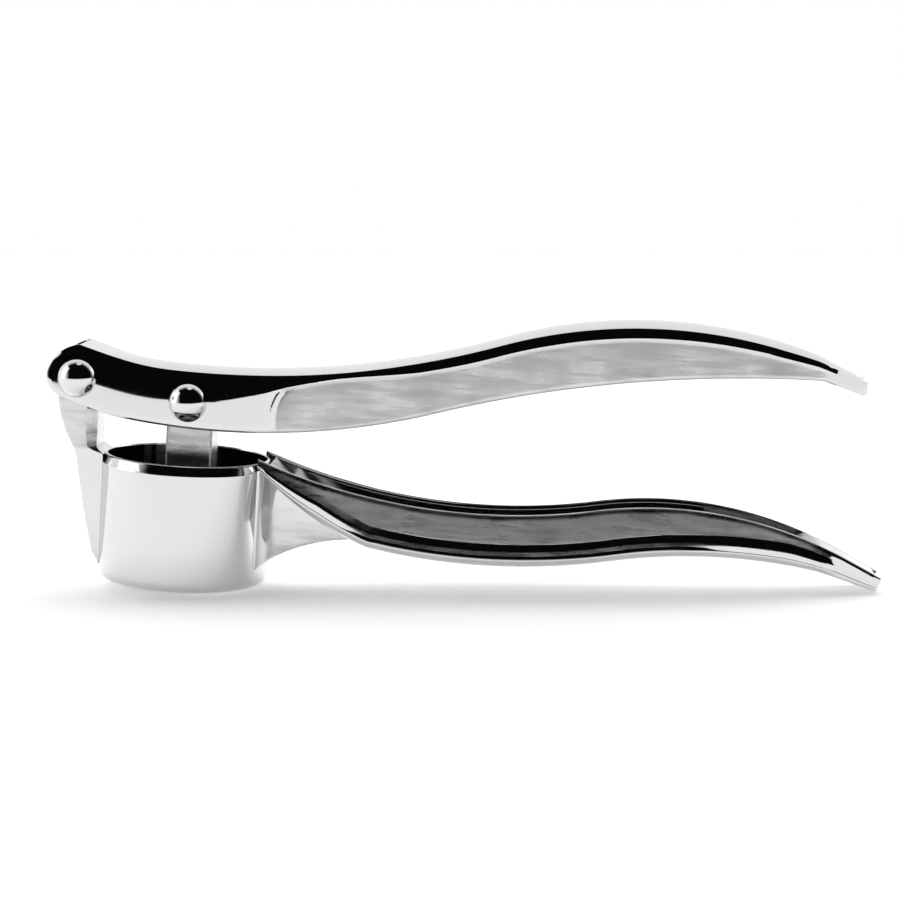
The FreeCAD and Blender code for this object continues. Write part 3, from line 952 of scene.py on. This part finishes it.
def lower_sanding_and_shade(x, y, z):
    """The darkening of the lower casting: sanding on the panels and the strip between the beads,
    and painted shade on the ear between the lever's walls and on the web under the handle.
    """
    # Painted shade: the ear between the lever's side walls, and below, the web under the handle.
    if z > CUP_HEIGHT + 0.5 and x < ROOT[0]:
        return EAR_PAINTED_SHADE
    if abs(y) < half_width(x, LOWER_TAIL) - 1.8 or x < ROOT[0]:
        return WEB_PAINTED_SHADE if ROOT[0] + 2 < x < 36 and z < lower_bottom(x) else 0.0
    off_edge = (z - lower_bottom(x)) * steepness(x) / bead_fit(x)
    panel = mix(smooth(4.05, 4.15, off_edge), smooth(2.95, 3.1, off_edge), in_sweep(x))
    strip = STRIP_WEAR * smooth(1.95, 2.05, off_edge) * (1 - smooth(2.7, 2.8, off_edge))
    return max(panel, strip * (1 - beads_upright(x))) * (1 - smooth(112, 116, x))


MARKS = plating_marks()
UPPER_PLATING = plated("upper_plating", MARKS, polish=0.06, haze=0.28, ripple=0.35, grey=0.18)
LOWER_PLATING = plated("lower_plating", MARKS, polish=0.06, haze=0.28, ripple=0.3, grey=0.8)
PLUNGER_PLATING = plated("plunger_plating", MARKS, polish=0.12, haze=0.3, ripple=0.4, grey=0.3)
RIVET_STEEL = plated("rivet_steel", MARKS, polish=0.05, haze=0.2, ripple=0.15, grey=0.3)

# ---------------------------------------------------------------- pieces
lower = new_piece("lower_handle_cup", lower_shells(), LOWER_PLATING, "base",
                  ["lower_handle"])
paint_panel(lower, lower_sanding_and_shade)
make_strainer(LOWER_PLATING)
upper = new_piece("upper_handle_lever", upper_shells(), UPPER_PLATING, "lever",
                  ["upper_handle"])
paint_panel(upper, upper_sanded)
plunger = new_piece("plunger_press", plunger_shells(), PLUNGER_PLATING, "plunger",
                    ["plunger"])
# Painted shade: the whole plunger, standing inside the lever and the cup, is darkened all over.
paint_panel(plunger, lambda x, y, z: PLUNGER_PAINTED_SHADE)
new_piece("rivet_hinge", [rivet_shell(HINGE)], RIVET_STEEL, "lever",
          ["hinge_rivet"])
new_piece("rivet_plunger", [rivet_shell(PIVOT)], RIVET_STEEL, "lever",
          ["plunger_rivet"])

# ---------------------------------------------------------------- studio
FLOOR_EDGE = 13.5
FLOOR_TILT = math.atan2(LOWER_TIP[1][1], LOWER_TIP[1][0] - FLOOR_EDGE)
FLOOR_GAP = 0.0003
CAMERA_ANGLES = (2.409, 8.012, 3.582)
CAMERA_AIM = (47.119, 0, 26.73)
CAMERA_AWAY = 0.4262
FRONT_LEVEL = 0.003


def make_floor():
    """A pale sheet on which the press rests by the cup's edge and the lower handle's tail."""
    reach = 2.5
    front = -1.2
    back = 1.1
    mesh = bpy.data.meshes.new("floor")
    corners = [(-reach, front, 0), (reach, front, 0), (reach, back, 0), (-reach, back, 0)]
    mesh.from_pydata(corners, [], [(0, 1, 2, 3)])
    floor = bpy.data.objects.new("floor", mesh)
    to_edge = Matrix.Translation((FLOOR_EDGE * MM, 0, -FLOOR_GAP))
    mesh.transform(to_edge @ Matrix.Rotation(-FLOOR_TILT, 4, "Y"))
    bpy.context.scene.collection.objects.link(floor)
    paper = bpy.data.materials.new("pale_floor")
    paper.use_nodes = True
    shader = paper.node_tree.nodes["Principled BSDF"]
    shader.inputs["Base Color"].default_value = (0.9, 0.9, 0.9, 1)
    shader.inputs["Roughness"].default_value = 0.9
    shader.inputs["Specular IOR Level"].default_value = 0.1
    shader.inputs["Emission Color"].default_value = (1, 1, 1, 1)
    shader.inputs["Emission Strength"].default_value = 0.35
    mesh.materials.append(paper)


def soft_light(name, place, size, power, mirrored=True):
    """A wide lamp that faces the press; the bright metal may or may not mirror it."""
    lamp = bpy.data.lights.new(name, "AREA")
    lamp.shape = "RECTANGLE"
    lamp.size, lamp.size_y = size
    lamp.energy = power
    light = bpy.data.objects.new(name, lamp)
    light.location = place
    light.visible_glossy = mirrored
    light.rotation_euler = Vector(place).to_track_quat("Z", "Y").to_euler()
    bpy.context.scene.collection.objects.link(light)


def make_camera():
    """A long lens a little above the press and almost square to it."""
    around, above, roll = (math.radians(angle) for angle in CAMERA_ANGLES)
    away = Vector((math.sin(around) * math.cos(above), -math.cos(around) * math.cos(above),
                   math.sin(above)))
    right = Vector((math.cos(around), math.sin(around), 0))
    up = away.cross(right)
    across = math.cos(roll) * right + math.sin(roll) * up
    upright = math.cos(roll) * up - math.sin(roll) * right
    spot = Vector(CAMERA_AIM) * MM + away * CAMERA_AWAY
    lens = bpy.data.cameras.new("camera")
    lens.lens = 95.1
    lens.sensor_width = 36
    lens.clip_start = 0.01
    camera = bpy.data.objects.new("camera", lens)
    facing = Matrix((across, upright, away)).transposed().to_4x4()
    camera.matrix_world = Matrix.Translation(spot) @ facing
    bpy.context.scene.collection.objects.link(camera)
    bpy.context.scene.camera = camera


def make_world():
    """Dim in front and pale behind, overhead and at the far left, for the metal to mirror."""
    world = bpy.data.worlds.new("studio")
    bpy.context.scene.world = world
    world.use_nodes = True
    tree = world.node_tree
    sky = tree.nodes["Background"]
    place = add_node(tree, "ShaderNodeTexCoord")
    parts = add_node(tree, "ShaderNodeSeparateXYZ")
    join(tree, place.outputs["Generated"], parts.inputs[0])
    behind = ramp(tree, parts.outputs["Y"], -0.1, 0.3, "SMOOTHSTEP")
    left = ramp(tree, parts.outputs["X"], -0.66, -0.95, "SMOOTHSTEP")
    above = ramp(tree, parts.outputs["Z"], 0.975, 0.995, "SMOOTHSTEP")
    path = add_node(tree, "ShaderNodeLightPath")
    level = math_node(tree, "MAXIMUM", behind, left)
    level = math_node(tree, "MAXIMUM", level, above)
    level = math_node(tree, "MAXIMUM", level, FRONT_LEVEL)
    level = math_node(tree, "MAXIMUM", level, path.outputs["Is Camera Ray"])
    join(tree, level, sky.inputs["Strength"])
    sky.inputs["Color"].default_value = (1, 1, 1, 1)


make_floor()
make_camera()
make_world()
soft_light("overhead", (0.0, 0.45, 0.9), (1.5, 1.0), 6.5, mirrored=False)
soft_light("left", (-0.9, -0.1, 0.35), (0.6, 0.9), 1.5)
soft_light("right", (1.0, 0.55, 0.4), (0.6, 0.9), 1.5)
bpy.context.scene.view_settings.view_transform = "Standard"
